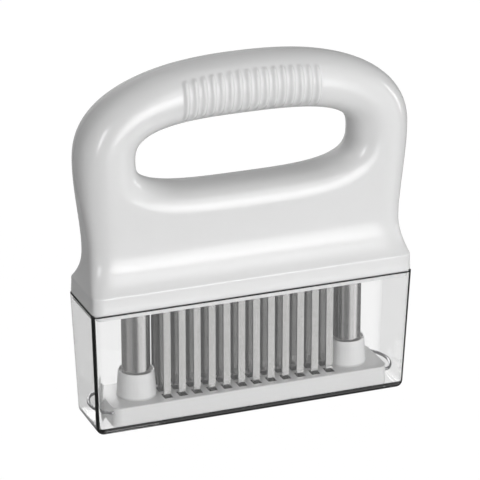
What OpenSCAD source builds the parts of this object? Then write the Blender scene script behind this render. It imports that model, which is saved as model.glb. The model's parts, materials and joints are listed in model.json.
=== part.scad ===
// Blade meat tenderizer standing in its clear storage cover. Millimetres, +Z up.
// The origin is the centre of the cover's underside. +X runs along the handle, -Y is the front.
// At rest the spring-loaded foot plate is fully down and hides the blade tips.

/* [Clear cover] */
// Length of the cover at its rim
cover_w = 136; // [132:0.5:160]
// Depth of the cover, front to back, at its rim
cover_d = 31.4; // [31:0.2:38]
// Height of the cover
cover_h = 52.2; // [50:0.2:63]
// Thickness of the cover's walls
cover_wall = 1.2; // [1:0.1:1.4]
// Thickness of the cover's floor
cover_floor = 2; // [1.4:0.1:2.1]
// Draft of each cover wall, in degrees
cover_draft = 2.2; // [1.5:0.1:2.3]
// Radius of the cover's outer corners
cover_corner_r = 3; // [2:0.1:4]
// Radius of the cover's inner corners
cover_inner_r = 0.9; // [0.8:0.1:1.8]

/* [Handle housing] */
// How far the skirt's sides stand in from the cover's outside
skirt_inset = 0.1; // [0.1:0.1:0.6]
// Height of the straight skirt above the cover's rim
skirt_h = 6.1; // [4:0.1:8]
// Height of the curved shoulder above the skirt
shoulder_h = 14.7; // [10:0.1:16]
// Depth of the neck, front to back
neck_d = 20; // [19:0.2:24]
// How far the neck's ends stand in from the skirt's ends
neck_inset = 2.2; // [1:0.1:4]
// Greatest length of the handle, across its two arms
handle_w = 139.6; // [134:0.5:164]
// Thickness of the grip, from top to bottom
grip_t = 24; // [22:0.5:30]
// Depth of the grip, front to back
grip_d = 24.6; // [22:0.1:30]
// Thickness of each arm of the loop, along the handle
arm_t = 24.6; // [22:0.1:28]
// Height of the finger opening at its middle
opening_h = 26.2; // [22:0.1:34]
// Height of the opening above its widest level
opening_rise = 13.2; // [11:0.1:17]
// Thickness of the housing between the spring bores and the finger opening's floor
bore_cap = 5.6; // [4:0.1:12]

/* [Blades] */
// Number of blades in a row
blades_per_row = 12; // [8:1:12]
// Distance between two blades of a row
blade_pitch = 6.35; // [5:0.05:6.4]
// Distance between two rows
row_pitch = 7; // [6.6:0.1:8.4]
// Width of a blade
blade_w = 3; // [2.4:0.1:4]
// Thickness of a blade
blade_t = 0.9; // [0.6:0.05:1.2]
// Height of a blade's ground point
blade_point = 2.4; // [1:0.1:4]
// Depth of a blade's tip above the underside of the foot plate
tip_cover = 1.6; // [1:0.1:3]
// Height of a blade holder bar
bar_h = 8; // [6:0.1:8.4]
// Gap between two blade holder bars
bar_gap = 1.8; // [1:0.1:2.6]
// How far a holder bar reaches past its end blades
bar_end = 1; // [0.8:0.1:2]
// Diameter of a pin that holds three blades, one of each row
pin_d = 1.4; // [1:0.1:1.8]

/* [Base plate] */
// Thickness of the base plate, which fits inside the cover's rim
base_t = 2.2; // [2:0.1:3]
// Diameter of a screw's shank
screw_d = 2.6; // [2:0.1:3]
// Diameter of a screw's head
screw_head_d = 5; // [4:0.1:5.6]
// Length of a screw
screw_l = 12; // [9:0.5:14]
// Distance from a screw's axis to the base plate's long edge
screw_edge = 7; // [5:0.1:9]

/* [Columns] */
// Wall between the blade pocket and a column's bore
bore_wall = 0.4; // [0.4:0.1:2]
// Outside diameter of a column tube
column_d = 11.5; // [10:0.1:12.6]
// Wall thickness of a column tube
column_wall = 0.8; // [0.6:0.05:1]
// How far the stop collar stands out from the tube
collar_ledge = 1.25; // [1:0.05:1.6]
// Height of the stop collar
collar_h = 2.5; // [2:0.1:4]
// Height of a guide bush
bush_h = 8; // [6:0.1:9]
// Gap left between the bosses and the base plate at full stroke
stop_gap = 1.2; // [0.6:0.1:8]
// How far the foot of a column stands out from the tube
foot_ledge = 4.75; // [4:0.05:5]
// Height of the foot on a column
foot_h = 7; // [6.4:0.1:7.2]
// Depth of the groove round the foot
groove_depth = 1.4; // [1.1:0.05:1.6]
// Wall between a foot's pocket and the end blades' slots
foot_wall = 0.9; // [0.6:0.05:1.2]

/* [Springs] */
// Diameter of the spring wire
spring_wire = 0.9; // [0.6:0.05:1.1]
// Gap between a spring and its tube
spring_tube_gap = 0.3; // [0.2:0.05:0.5]
// Number of coils in a spring
spring_coils = 22; // [10:1:24]
// Gap between a spring and the rod that guides it
guide_gap = 0.75; // [0.4:0.05:1]
// Length of the guide rod below its seat
guide_l = 38; // [20:0.5:40]
// Thickness of the spring's upper seat
seat_t = 2; // [1:0.1:3]

/* [Foot plate] */
// Gap between the foot plate's long sides and the cover's walls
plate_side_gap = 0.65; // [0.5:0.05:1]
// Thickness of the foot plate
plate_t = 8.2; // [8:0.1:10]
// Radius of the foot plate's corners
plate_corner_r = 3.5; // [1:0.1:5]
// Height of the boss round each column
boss_h = 10.8; // [6:0.1:12]
// Wall of a boss at its foot
boss_foot_wall = 2.4; // [2:0.1:3]
// Wall of a boss at its top
boss_top_wall = 1.5; // [1:0.1:1.9]
// Wall of the rim round the recess in a boss's top
boss_rim = 0.5; // [0.4:0.05:0.9]
// Depth of the recess in a boss's top
boss_recess = 1.3; // [0.5:0.1:3]
// How far a slot of the foot plate reaches in front of its blade and behind it
slot_reach = 1.9; // [0.3:0.1:2]

/* [Wire clips] */
// Diameter of the clip wire
clip_wire = 1.3; // [1:0.05:1.4]
// How far the bow of a clip stands out from the plate's end
clip_bow = 5.6; // [3:0.1:6]
// Gap between the bow of a clip and the cover's wall
clip_gap = 0.5; // [0.4:0.05:1]
// Depth of the clip wire's centre below the top of the plate
clip_drop = 2.3; // [2:0.1:2.6]
// Radius of the clip's long bow
clip_bow_r = 14; // [11:0.5:20]
// Radius of the bend between a leg and the bow
clip_bend_r = 2.6; // [2:0.1:4]

/* [Clearances] */
// Gap between pieces of different bodies
body_gap = 0.4; // [0.3:0.05:0.6]
// Radial gap of a running fit
run_gap = 0.05; // [0.02:0.01:0.1]
// Gap of a piece that is pressed or laid into its seat
seat_gap = 0.02; // [0.01:0.01:0.05]
// Gap round a blade in a slot that only clears it, and round the holder bars
slot_gap = 0.3; // [0.2:0.05:0.4]

/* [Hidden] */

LEFT = -1;
RIGHT = 1;
FRONT = -1;
MIDDLE = 0;
REAR = 1;
ROUND_FN = 64;
SHELL_FN = 32;
CUT = 1;

WHITE = "whitesmoke";
STEEL = "silver";
DARK_STEEL = "darkgray";
CLEAR = [0.85, 0.92, 0.95, 0.35];
NATURAL = "gainsboro";

// Heights of the stack, from the table upward
plate_z = cover_floor + body_gap;
plate_top = plate_z + plate_t;
boss_top = plate_top + boss_h;
base_z = cover_h - base_t;
bar_z = cover_h + seat_gap;
pocket_top = bar_z + bar_h + slot_gap;
bush_top = cover_h + bush_h;
collar_z = bush_top + seat_gap;
tube_top = collar_z + collar_h;
travel = base_z - boss_top - stop_gap;
seat_z = tube_top + travel + body_gap;
bore_top = seat_z + seat_t + seat_gap;
echo(travel_mm = travel);
foot_z = plate_z + body_gap;
foot_top = foot_z + foot_h;
spigot_top = boss_top - seat_gap;
clip_z = plate_top - clip_drop;
tip_z = plate_z + tip_cover;
blade_top = bar_z + bar_h;
pin_z = bar_z + bar_h / 2;

// Widths of the stack, from the blades outward
row_half = ((blades_per_row - 1) * blade_pitch + blade_w) / 2;
bar_l = 2 * (row_half + bar_end);
bar_w = row_pitch - bar_gap;
column_r = column_d / 2;
tube_bore_r = column_r - column_wall;
collar_r = column_r + collar_ledge;
bore_r = collar_r + body_gap;
column_x = bar_l / 2 + slot_gap + bore_wall + bore_r;
pocket_flat = column_x - row_half - slot_gap - foot_wall;
foot_r = column_r + foot_ledge;
groove_r = foot_r - groove_depth;
leg_y = groove_r + run_gap + clip_wire / 2;
spring_r = tube_bore_r - spring_tube_gap - spring_wire / 2;
guide_r = spring_r - spring_wire / 2 - guide_gap;

// Draft: how far a cover wall stands in at height z, against its place at the rim
function draft_in(z) = (cover_h - z) * tan(cover_draft);

// The foot plate's outline comes from the cover's inside
end_x = cover_w / 2 - cover_wall - draft_in(clip_z) - clip_gap - clip_bow;
plate_d = cover_d - 2 * (cover_wall + draft_in(plate_z) + plate_side_gap);

// ---- Rounded box parts ----

// A flat outline with round corners, made of true arcs
module round_rect(w, d, r) {
    square([w - 2 * r, d], center = true);
    square([w, d - 2 * r], center = true);
    for (sx = [-1, 1], sy = [-1, 1])
        translate([sx * (w / 2 - r), sy * (d / 2 - r)])
            circle(r = r, $fn = ROUND_FN);
}

// Flat share of a corner's radius at the floor, and the upright land at the rim
CORNER_FLAT = 0.3;
RIM_LAND = 0.2;

// A drafted tub: its wall stands wall_in inside the cover's outside, its floor is at z0, its rim at z1
module drafted_tub(wall_in, z0, z1, r) {
    hull() for (sx = [-1, 1], sy = [-1, 1]) {
        // Round lower corner, and a small disc that keeps the floor flat
        low_x = cover_w / 2 - wall_in - draft_in(z0) - r;
        low_y = cover_d / 2 - wall_in - draft_in(z0) - r;
        translate([sx * low_x, sy * low_y, z0 + r])
            sphere(r = r, $fn = SHELL_FN);
        translate([sx * low_x, sy * low_y, z0])
            cylinder(r = r * CORNER_FLAT, h = r, $fn = SHELL_FN);
        // Rim corner
        top_x = cover_w / 2 - wall_in - draft_in(z1) - r;
        top_y = cover_d / 2 - wall_in - draft_in(z1) - r;
        translate([sx * top_x, sy * top_y, z1 - RIM_LAND])
            cylinder(r = r, h = RIM_LAND, $fn = SHELL_FN);
    }
}

module clear_cover() {
    color(CLEAR)
    difference() {
        drafted_tub(0, 0, cover_h, cover_corner_r);
        drafted_tub(cover_wall, cover_floor, cover_h + CUT, cover_inner_r);
    }
}

// ---- Handle housing: one smooth shell ----
// The upper part is a ring of sections round the finger opening. The lower part is a stack of
// level rings from the neck down to the skirt. Both share the ring of points at height join_z.

skirt_x = cover_w / 2 - skirt_inset;
skirt_y = cover_d / 2 - skirt_inset;
skirt_top = cover_h + skirt_h;
neck_z = skirt_top + shoulder_h;
arm_x = handle_w / 2;
opening_x = arm_x - arm_t;
opening_low = bore_top + bore_cap;
opening_top = opening_low + opening_h;
mid_z = opening_top - opening_rise;
total_h = opening_top + grip_t;
echo(total_height_mm = total_h);

// The level where the ring meets the rings below it, and the rounding of the opening's floor
JOIN_SHARE = 0.28;
join_z = mix(neck_z, opening_low, JOIN_SHARE);
bridge_roll = 11;
edge_land = 0.3;

// Squareness of the outlines: 2 is an ellipse, more is squarer
OUTER_POWER = 2.33;
OPENING_TOP_POWER = 2.9;
OPENING_LOW_POWER = 3.4;

function ease(u) = let (v = min(max(u, 0), 1)) v * v * (3 - 2 * v);
function mix(a, b, u) = a + (b - a) * u;
function shoulder(z) = let (u = min(max((z - skirt_top) / shoulder_h, 0), 1)) 1 - (1 - u) * (1 - u);

// Rounding of an edge: 0 at the edge, 1 from the distance reach inward
ROLL_POWER = 2.15;
function roll(d, reach) =
    let (q = min(max(d / reach, 0), 1)) pow(1 - pow(1 - q, ROLL_POWER), 1 / ROLL_POWER);

// Half length of the housing at height z, up to the middle of the arms
function half_x(z) =
    z < neck_z
        ? skirt_x - neck_inset * shoulder(z)
        : mix(skirt_x - neck_inset, arm_x, ease((z - neck_z) / (mid_z - neck_z)));

// Half depth of the housing at height z, away from any rounded edge
function half_y(z) =
    z < neck_z
        ? mix(skirt_y, neck_d / 2, shoulder(z))
        : mix(neck_d / 2, grip_d / 2, ease((z - neck_z) / (total_h - grip_t / 2 - neck_z)));

// Reach along X of the rounding at the housing's ends at height z, from a tight corner to a full round
skirt_corner_r = 3;
neck_corner_r = 6;
function end_reach(z) =
    z < neck_z
        ? mix(skirt_corner_r, neck_corner_r, shoulder(z))
        : mix(neck_corner_r, arm_t / 2, ease((z - neck_z) / (mid_z - neck_z)));

// How far the same rounding draws the front in at the very end
function end_depth(z) =
    z < neck_z
        ? mix(skirt_corner_r, neck_corner_r, shoulder(z))
        : mix(neck_corner_r, half_y(z), ease((z - neck_z) / (mid_z - neck_z)));

function signed_pow(v, p) = sign(v) * pow(abs(v), p);
function squircle(a, b, power, angle) =
    [a * signed_pow(cos(angle), 2 / power), mid_z + b * signed_pow(sin(angle), 2 / power)];

// Stations of the right half below the middle, each [x, z] on the outer line
VERTICAL_RAYS = 8;
CORNER_RAYS = 8;
CORNER_POWER = 2.5;
SIDE_RAYS = 7;
GRIP_STEPS = 26;
FLAT_SHARE = 0.8;
flat_x = opening_x * FLAT_SHARE;
low_half_x = half_x(join_z);

vertical_out = [for (k = [0:VERTICAL_RAYS]) [flat_x * k / VERTICAL_RAYS, join_z]];
corner_out = [for (k = [1:CORNER_RAYS])
    [mix(flat_x, low_half_x, 1 - pow(1 - k / CORNER_RAYS, CORNER_POWER)), join_z]];
side_out = [for (k = [1:SIDE_RAYS])
    let (z = mix(join_z, mid_z, k / SIDE_RAYS)) [half_x(z), z]];
right_out = concat(vertical_out, corner_out, side_out);

// The matching points on the opening's edge
function low_angle(x) = acos(pow(x / opening_x, OPENING_LOW_POWER / 2));
turn_rays = CORNER_RAYS + SIDE_RAYS;
vertical_in = [for (p = vertical_out)
    squircle(opening_x, mid_z - opening_low, OPENING_LOW_POWER, -low_angle(p.x))];
turn_in = [for (k = [1:turn_rays])
    squircle(opening_x, mid_z - opening_low, OPENING_LOW_POWER,
        -low_angle(flat_x) * (1 - k / turn_rays))];
right_in = concat(vertical_in, turn_in);

// Stations of the grip, from the right arm over the top to the left arm
grip_out = [for (k = [1:GRIP_STEPS - 1])
    squircle(arm_x, total_h - mid_z, OUTER_POWER, 180 * k / GRIP_STEPS)];
grip_in = [for (k = [1:GRIP_STEPS - 1])
    squircle(opening_x, opening_top - mid_z, OPENING_TOP_POWER, 180 * k / GRIP_STEPS)];

function mirrored(list) = [for (i = [len(list) - 1:-1:1]) [-list[i].x, list[i].y]];
// The order is: bottom left corner to bottom right, up the right side, over the grip, down the left
bottom_half = VERTICAL_RAYS + CORNER_RAYS;
left_out = mirrored(right_out);
left_in = mirrored(right_in);
ring_out = concat(right_out, grip_out, left_out);
ring_in = concat(right_in, grip_in, left_in);
STATIONS = len(ring_out);
ROWS = 10;
SECTION = 2 * (ROWS + 1);

// Half depth at a share s of the way from the opening's edge to the outer line
function section_y(p_in, p_out, s) =
    let (
        p = p_in + (p_out - p_in) * s,
        l = norm(p_out - p_in),
        on_ring = p_out.y > mid_z - seat_gap,
        in_reach = on_ring ? l / 2 : mix(bridge_roll, arm_t / 2, ease((p_out.y - join_z) / (mid_z - join_z))),
        d_out = on_ring ? (1 - s) * l : half_x(p.y) - abs(p.x),
        out_reach = on_ring ? l / 2 : end_reach(p.y),
        out_depth = on_ring ? half_y(p.y) : end_depth(p.y)
    )
    max(edge_land, half_y(p.y) * roll(s * l, in_reach) - out_depth * (1 - roll(d_out, out_reach)));

// One closed section: front from the opening outward, then back again behind
function section(p_in, p_out) =
    let (
        share = [for (j = [0:ROWS]) (1 - cos(180 * j / ROWS)) / 2],
        front = [for (s = share)
            let (p = p_in + (p_out - p_in) * s) [p.x, -section_y(p_in, p_out, s), p.y]]
    )
    concat(front, [for (j = [ROWS:-1:0]) [front[j].x, -front[j].y, front[j].z]]);

ring_points = [for (i = [0:STATIONS - 1]) each section(ring_in[i], ring_out[i])];

// Level rings below join_z, from the skirt's lower edge upward, closest where the shoulder starts
SHOULDER_RINGS = 7;
level_z = [
    cover_h, (cover_h + skirt_top) / 2, skirt_top,
    for (i = [1:SHOULDER_RINGS])
        skirt_top + shoulder_h * (1 - cos(90 * i / SHOULDER_RINGS))
];
LEVELS = len(level_z);
LEVEL_POINTS = 2 * (2 * bottom_half + 1);
run_share = [for (i = [-bottom_half:bottom_half]) sign(i) * right_out[abs(i)].x / low_half_x];
function level_y(x, z) = half_y(z) - end_depth(z) * (1 - roll(half_x(z) - abs(x), end_reach(z)));
function level_ring(z) =
    let (front = [for (u = run_share) let (x = u * half_x(z)) [x, -level_y(x, z), z]])
    concat(front, [for (i = [len(front) - 1:-1:0]) [front[i].x, -front[i].y, z]]);
level_points = [for (z = level_z) each level_ring(z)];

// Point numbers: the ring's section i, place k, and the level l, place k
function wrap(i, n) = (i + n) % n;
function ring_at(i, k) = wrap(i, STATIONS) * SECTION + wrap(k, SECTION);
function level_at(l, k) =
    l < LEVELS
        ? STATIONS * SECTION + l * LEVEL_POINTS + wrap(k, LEVEL_POINTS)
        : let (q = wrap(k, LEVEL_POINTS), n = 2 * bottom_half + 1)
            q < n ? ring_at(q - bottom_half, ROWS) : ring_at(bottom_half - (q - n), ROWS + 1);

function two_triangles(a, b, c, d) = [[a, b, c], [a, c, d]];
function on_bottom(i) = i < bottom_half || i >= STATIONS - bottom_half;
ring_faces = [for (i = [0:STATIONS - 1], k = [0:SECTION - 1])
    if (!(k == ROWS && on_bottom(i)))
        each two_triangles(ring_at(i, k), ring_at(i, k + 1), ring_at(i + 1, k + 1), ring_at(i + 1, k))];
level_faces = [for (l = [0:LEVELS - 1], k = [0:LEVEL_POINTS - 1])
    each two_triangles(level_at(l, k), level_at(l + 1, k), level_at(l + 1, k + 1), level_at(l, k + 1))];
floor_faces = [for (k = [0:2 * bottom_half - 1])
    each two_triangles(level_at(0, k), level_at(0, k + 1),
        level_at(0, LEVEL_POINTS - 2 - k), level_at(0, LEVEL_POINTS - 1 - k))];

// Faces of a tube of rings, closed at both ends
function tube_faces(rings, sides) = concat(
    [for (i = [0:rings - 2], k = [0:sides - 1])
        each two_triangles(i * sides + k, (i + 1) * sides + k,
            (i + 1) * sides + wrap(k + 1, sides), i * sides + wrap(k + 1, sides))],
    [[for (k = [0:sides - 1]) k]],
    [[for (k = [sides - 1:-1:0]) (rings - 1) * sides + k]]
);

module housing_shell() {
    polyhedron(points = concat(ring_points, level_points),
        faces = concat(ring_faces, level_faces, floor_faces));
}

// The base plate fits inside the cover's rim; its screws stand midway between bore and end
base_w = cover_w - 2 * cover_wall - 2 * body_gap;
base_d = cover_d - 2 * cover_wall - 2 * body_gap;
screw_x = (column_x + bore_r + base_w / 2) / 2;
screw_y = base_d / 2 - screw_edge;
screw_hole_r = screw_d / 2 + seat_gap;

module at_screws() {
    for (sx = [-1, 1], sy = [-1, 1])
        translate([sx * screw_x, sy * screw_y, 0])
            children();
}

module handle_housing() {
    color(WHITE)
    difference() {
        housing_shell();
        // Bores for the columns and their springs
        for (side = [LEFT, RIGHT])
            translate([side * column_x, 0, cover_h - CUT])
                cylinder(r = bore_r, h = bore_top - cover_h + CUT, $fn = ROUND_FN);
        // Pocket for the three blade rows
        translate([-bar_l / 2 - slot_gap, -row_pitch - bar_w / 2 - slot_gap, cover_h - CUT])
            cube([bar_l + 2 * slot_gap, 2 * row_pitch + bar_w + 2 * slot_gap,
                pocket_top - cover_h + CUT]);
        // Screw holes
        at_screws()
            translate([0, 0, cover_h - CUT])
                cylinder(r = screw_hole_r, h = base_z + screw_l + body_gap - cover_h + CUT,
                    $fn = ROUND_FN);
    }
}

// ---- Base plate and screws ----

countersink_h = (screw_head_d - screw_d) / 2;
recess_t = 0.65;
recess_h = 0.7;

module base_plate() {
    color(WHITE)
    difference() {
        translate([0, 0, base_z])
            linear_extrude(base_t)
                round_rect(base_w, base_d, cover_corner_r - body_gap);
        for (side = [LEFT, RIGHT])
            translate([side * column_x, 0, base_z - CUT])
                cylinder(r = column_r + slot_gap, h = base_t + 2 * CUT, $fn = ROUND_FN);
        for (row = [FRONT, MIDDLE, REAR])
            blade_slots(row, base_z - CUT, base_t + 2 * CUT, slot_gap / 2, slot_gap / 2);
        at_screws() {
            translate([0, 0, base_z - CUT])
                cylinder(r = screw_hole_r, h = base_t + 2 * CUT, $fn = ROUND_FN);
            translate([0, 0, base_z])
                cylinder(r1 = screw_head_d / 2 + seat_gap, r2 = screw_hole_r, h = countersink_h,
                    $fn = ROUND_FN);
        }
    }
}

module base_screws() {
    color(STEEL)
    at_screws()
        difference() {
            union() {
                translate([0, 0, base_z])
                    cylinder(r1 = screw_head_d / 2, r2 = screw_d / 2, h = countersink_h,
                        $fn = ROUND_FN);
                translate([0, 0, base_z + countersink_h / 2])
                    cylinder(r = screw_d / 2, h = screw_l - countersink_h / 2 - screw_d / 2,
                        $fn = ROUND_FN);
                translate([0, 0, base_z + screw_l - screw_d / 2])
                    cylinder(r1 = screw_d / 2, r2 = recess_t / 2, h = screw_d / 2, $fn = ROUND_FN);
            }
            // Cross recess
            for (turn = [0, 90])
                rotate([0, 0, turn])
                    translate([-screw_d / 2, -recess_t / 2, base_z - CUT])
                        cube([screw_d, recess_t, recess_h + CUT]);
        }
}

// ---- Blades ----

function blade_x(i) = (i - (blades_per_row - 1) / 2) * blade_pitch;

// Slots that let a row of blades through, wider by gap at each side and by reach in front and behind
module blade_slots(row, z, h, gap, reach) {
    for (i = [0:blades_per_row - 1])
        translate([blade_x(i) - blade_w / 2 - gap, row * row_pitch - blade_t / 2 - reach, z])
            cube([blade_w + 2 * gap, blade_t + 2 * reach, h]);
}

// Pins along Y, one at each blade of a row, each gap wider all round
module pins(gap) {
    reach = row_pitch + bar_w / 2;
    for (i = [0:blades_per_row - 1])
        translate([blade_x(i), reach, pin_z])
            rotate([90, 0, 0])
                cylinder(r = pin_d / 2 + gap, h = 2 * reach, $fn = ROUND_FN);
}

// One blade, drawn flat with its ground point downward and its pin hole
module blade_profile() {
    difference() {
        polygon([
            [-blade_w / 2, blade_top], [-blade_w / 2, tip_z + blade_point], [0, tip_z],
            [blade_w / 2, tip_z + blade_point], [blade_w / 2, blade_top]
        ]);
        translate([0, pin_z])
            circle(r = pin_d / 2 + seat_gap, $fn = ROUND_FN);
    }
}

module blade_row(row) {
    color(DARK_STEEL)
    for (i = [0:blades_per_row - 1])
        translate([blade_x(i), row * row_pitch + blade_t / 2, 0])
            rotate([90, 0, 0])
                linear_extrude(blade_t)
                    blade_profile();
}

module blade_bar(row) {
    color(NATURAL)
    difference() {
        translate([-bar_l / 2, row * row_pitch - bar_w / 2, bar_z])
            cube([bar_l, bar_w, bar_h]);
        blade_slots(row, bar_z - CUT, bar_h + 2 * CUT, seat_gap, seat_gap);
        pins(seat_gap);
    }
}

module blade_pins() {
    color(STEEL)
    pins(0);
}

// ---- Guides and springs, held in the housing ----

module guide_bush(side) {
    color(NATURAL)
    translate([side * column_x, 0, cover_h])
        difference() {
            cylinder(r = bore_r - run_gap, h = bush_h, $fn = ROUND_FN);
            translate([0, 0, -CUT])
                cylinder(r = column_r + run_gap, h = bush_h + 2 * CUT, $fn = ROUND_FN);
        }
}

module spring_guide(side) {
    color(NATURAL)
    translate([side * column_x, 0, 0]) {
        translate([0, 0, seat_z])
            cylinder(r = bore_r - run_gap, h = seat_t, $fn = ROUND_FN);
        translate([0, 0, seat_z - guide_l])
            cylinder(r = guide_r, h = guide_l, $fn = ROUND_FN);
    }
}

RINGS_PER_COIL = 8;
WIRE_SIDES = 6;
spring_low = spigot_top + seat_gap + spring_wire / 2;
spring_high = seat_z - seat_gap - spring_wire / 2;
spring_rings = spring_coils * RINGS_PER_COIL;
spring_path = [for (i = [0:spring_rings])
    let (a = 360 * i / RINGS_PER_COIL)
    [spring_r * cos(a), spring_r * sin(a), mix(spring_low, spring_high, i / spring_rings)]];
spring_gap = min([for (i = [0:spring_rings - RINGS_PER_COIL])
    norm(spring_path[i + RINGS_PER_COIL] - spring_path[i])]) - spring_wire;
echo(spring_least_gap_mm = spring_gap);

spring_points = [for (i = [0:spring_rings], k = [0:WIRE_SIDES - 1])
    let (
        a = 360 * i / RINGS_PER_COIL,
        w = 360 * k / WIRE_SIDES,
        r = spring_r + spring_wire / 2 * cos(w)
    )
    [r * cos(a), r * sin(a), spring_path[i].z + spring_wire / 2 * sin(w)]];
module spring(side) {
    color(STEEL)
    translate([side * column_x, 0, 0])
        polyhedron(points = spring_points, faces = tube_faces(spring_rings + 1, WIRE_SIDES));
}

// ---- Columns ----

module column_tube(side) {
    color(STEEL)
    translate([side * column_x, 0, foot_top])
        difference() {
            cylinder(r = column_r, h = tube_top - foot_top, $fn = ROUND_FN);
            translate([0, 0, -CUT])
                cylinder(r = tube_bore_r, h = tube_top - foot_top + 2 * CUT, $fn = ROUND_FN);
        }
}

module column_collar(side) {
    color(NATURAL)
    translate([side * column_x, 0, collar_z])
        difference() {
            cylinder(r = collar_r, h = collar_h, $fn = ROUND_FN);
            translate([0, 0, -CUT])
                cylinder(r = column_r + seat_gap, h = collar_h + 2 * CUT, $fn = ROUND_FN);
        }
}

// Foot: a disc with a flat beside the blades, a groove for the clip's legs, and a spigot that
// fills the tube's lower end
groove_h = clip_wire + 2 * run_gap;

// A disc on the column's axis with its flat toward the blades
module flat_disc(side, r, flat, h) {
    difference() {
        cylinder(r = r, h = h, $fn = ROUND_FN);
        translate([side > 0 ? -r - CUT : flat, -r - CUT, -CUT])
            cube([r + CUT - flat, 2 * (r + CUT), h + 2 * CUT]);
    }
}

module column_foot(side) {
    color(WHITE)
    translate([side * column_x, 0, 0])
        difference() {
            union() {
                translate([0, 0, foot_z])
                    flat_disc(side, foot_r, pocket_flat - run_gap, foot_h);
                translate([0, 0, foot_z])
                    cylinder(r = tube_bore_r - seat_gap, h = spigot_top - foot_z, $fn = ROUND_FN);
            }
            translate([0, 0, clip_z - groove_h / 2])
                difference() {
                    cylinder(r = foot_r + CUT, h = groove_h, $fn = ROUND_FN);
                    translate([0, 0, -CUT])
                        cylinder(r = groove_r, h = groove_h + 2 * CUT, $fn = ROUND_FN);
                }
        }
}

// ---- Foot plate ----

pocket_r = foot_r + run_gap;
pocket_h = foot_top + seat_gap - plate_z;
channel_r = clip_wire / 2 + slot_gap / 2;
leg_end = column_x - foot_r / 2;

module foot_plate() {
    color(WHITE)
    difference() {
        union() {
            translate([0, 0, plate_z])
                linear_extrude(plate_t)
                    round_rect(2 * end_x, plate_d, plate_corner_r);
            for (side = [LEFT, RIGHT])
                translate([side * column_x, 0, plate_top])
                    cylinder(r1 = column_r + boss_foot_wall, r2 = column_r + boss_top_wall,
                        h = boss_h, $fn = ROUND_FN);
        }
        for (side = [LEFT, RIGHT]) {
            // Bore for the tube, a recess round its top, and the foot's pocket below it
            translate([side * column_x, 0, plate_z - CUT])
                cylinder(r = column_r + run_gap, h = boss_top - plate_z + 2 * CUT, $fn = ROUND_FN);
            translate([side * column_x, 0, boss_top - boss_recess])
                cylinder(r = column_r + boss_top_wall - boss_rim, h = boss_recess + CUT,
                    $fn = ROUND_FN);
            translate([side * column_x, 0, plate_z - CUT])
                flat_disc(side, pocket_r, pocket_flat, pocket_h + CUT);
            // Channels for the clip's legs
            for (sy = [-1, 1])
                translate([side * (leg_end - body_gap), sy * leg_y, clip_z])
                    rotate([0, side * 90, 0])
                        cylinder(r = channel_r, h = end_x - leg_end + body_gap + CUT,
                            $fn = ROUND_FN);
        }
        for (row = [FRONT, MIDDLE, REAR])
            blade_slots(row, plate_z - CUT, plate_t + 2 * CUT, slot_gap, slot_reach);
    }
}

// ---- Wire clips ----

// The bow is one long arc that meets each leg through a small bend
bow_turn = asin((leg_y - clip_bend_r) / (clip_bow_r - clip_bend_r));
bow_centre = end_x + clip_bow - clip_wire / 2 - clip_bow_r;
bend_x = bow_centre + (clip_bow_r - clip_bend_r) * cos(bow_turn);
CLIP_SIDES = 10;
BEND_RINGS = 5;
BOW_RINGS = 20;

// The wire's path, each [x, y, direction], along one leg, round the bow and back along the other
function arc_path(cx, cy, r, from, to, n) =
    [for (i = [0:n]) let (a = mix(from, to, i / n)) [cx + r * cos(a), cy + r * sin(a), a - 90]];
bend_path = arc_path(bend_x, leg_y - clip_bend_r, clip_bend_r, 90, bow_turn, BEND_RINGS);
bow_path = arc_path(bow_centre, 0, clip_bow_r, bow_turn, -bow_turn, BOW_RINGS);
half_clip = concat([[leg_end, leg_y, 0]], bend_path);
clip_path = concat(
    half_clip,
    [for (i = [1:BOW_RINGS - 1]) bow_path[i]],
    [for (i = [len(half_clip) - 1:-1:0]) [half_clip[i].x, -half_clip[i].y, -180 - half_clip[i].z]]
);
clip_points = [for (p = clip_path, k = [0:CLIP_SIDES - 1])
    let (w = 360 * k / CLIP_SIDES, off = clip_wire / 2 * cos(w))
    [p.x - off * sin(p.z), p.y + off * cos(p.z), clip_z + clip_wire / 2 * sin(w)]];

module wire_clip(side) {
    color(STEEL)
    rotate([0, 0, side == RIGHT ? 0 : 180])
        polyhedron(points = clip_points, faces = tube_faces(len(clip_path), CLIP_SIDES));
}

clear_cover();
handle_housing();
base_plate();
base_screws();
blade_bar(FRONT);  // blade_bar_front
blade_bar(MIDDLE);  // blade_bar_middle
blade_bar(REAR);  // blade_bar_rear
blade_row(FRONT);  // blades_front
blade_row(MIDDLE);  // blades_middle
blade_row(REAR);  // blades_rear
blade_pins();
guide_bush(LEFT);  // guide_bush_left
guide_bush(RIGHT);  // guide_bush_right
spring_guide(LEFT);  // spring_guide_left
spring_guide(RIGHT);  // spring_guide_right
spring(LEFT);  // spring_left
spring(RIGHT);  // spring_right
column_tube(LEFT);  // column_tube_left
column_tube(RIGHT);  // column_tube_right
column_collar(LEFT);  // column_collar_left
column_collar(RIGHT);  // column_collar_right
column_foot(LEFT);  // column_foot_left
column_foot(RIGHT);  // column_foot_right
foot_plate();
wire_clip(LEFT);  // wire_clip_left
wire_clip(RIGHT);  // wire_clip_right
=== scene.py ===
"""Looks of a blade meat tenderizer that stands in its clear cover, built round the packed frame."""

import json
import math

import bmesh
import bpy
from bpy.props import FloatProperty, FloatVectorProperty, IntProperty, PointerProperty
from mathutils import Matrix, Vector


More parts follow.
